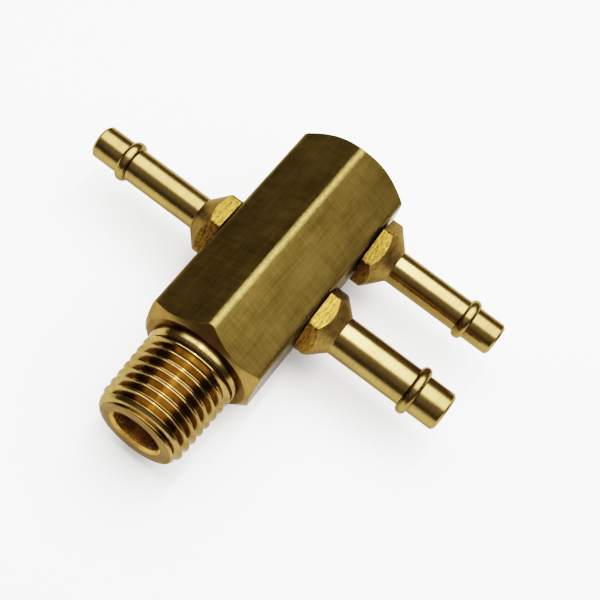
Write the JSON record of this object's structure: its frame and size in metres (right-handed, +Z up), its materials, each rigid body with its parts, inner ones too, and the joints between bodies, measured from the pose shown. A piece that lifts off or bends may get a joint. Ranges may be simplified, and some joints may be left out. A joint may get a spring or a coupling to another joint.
{
  "type": "brass hose manifold",
  "caption": "Hexagon bar manifold with a male taper pipe thread on one end and screwed-in beaded hose tails square to its sides.",
  "frame": {"origin": "where the body's axis crosses the shoulder plane behind the male thread", "axes": "+X along the body away from the thread, +Y towards the single hose tail, +Z up when the part lies with its tails level, through the middle of a corner of the hexagon"},
  "size_m": [0.0506, 0.062, 0.0198],
  "materials": {
    "body_brass": "cold-drawn hexagon bar with fine scratches, turned thread and turned ends",
    "tail_brass": "turned and lightly polished",
    "cured_sealant": "cured thread sealant"
  },
  "bodies": {
    "root": {"manifold_body": "body_brass", "hose_tail_single": "tail_brass", "hose_tail_near": "tail_brass", "hose_tail_far": "tail_brass", "thread_sealant_single": "cured_sealant", "thread_sealant_near": "cured_sealant", "thread_sealant_far": "cured_sealant"}
  },
  "joints": []
}
